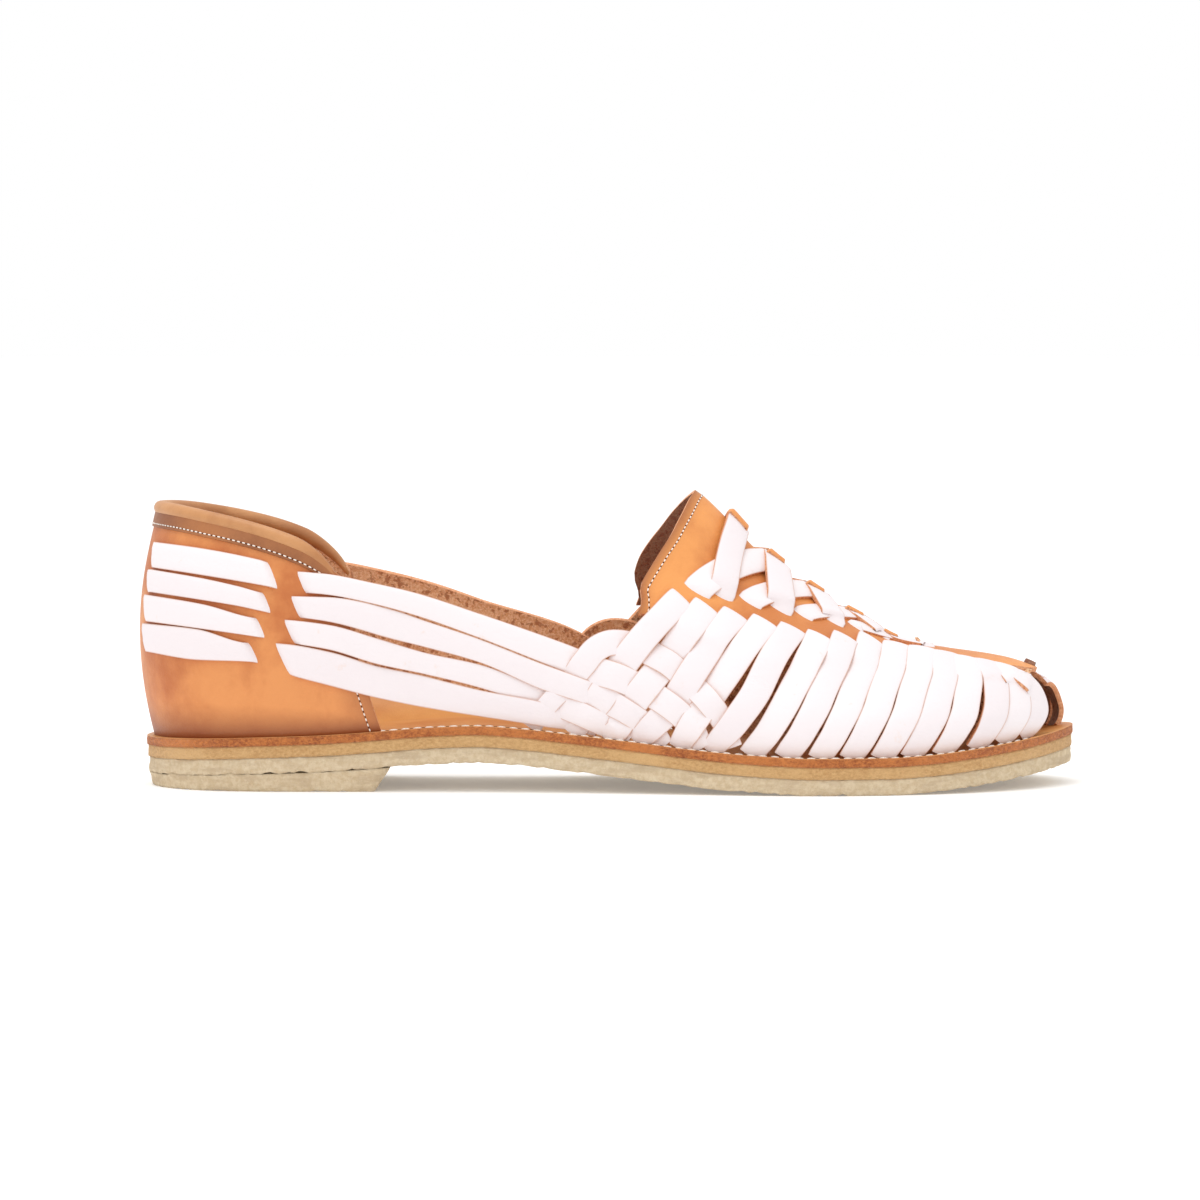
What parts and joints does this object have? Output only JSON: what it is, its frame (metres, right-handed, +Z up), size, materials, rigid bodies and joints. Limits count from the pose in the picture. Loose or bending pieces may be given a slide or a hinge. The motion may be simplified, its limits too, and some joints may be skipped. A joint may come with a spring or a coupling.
{
  "type": "huarache sandal",
  "caption": "Flat slip-on woven leather huarache for the right foot, with a closed heel cup, an open waist, a plaited forepart and a small open toe.",
  "frame": {"origin": "middle of the shoe's box, on the floor", "axes": "+X from heel to toe, +Y to the inner side of the foot, +Z up"},
  "size_m": [0.2672, 0.0926, 0.0839],
  "materials": {
    "crepe": "crumbly natural crepe rubber",
    "midsole": "cut sole leather edge",
    "insole": "smooth tan leather with a dark cut edge",
    "white": "smooth white leather strips",
    "tan": "smooth vegetable tan leather",
    "binding": "soft rolled tan leather"
  },
  "bodies": {
    "root": {"outsole": "crepe", "heel_lift": "crepe", "midsole": "midsole", "insole": "insole", "upper": "white", "counter": "tan", "collar_binding": "binding", "instep_panel": "tan"}
  },
  "joints": []
}
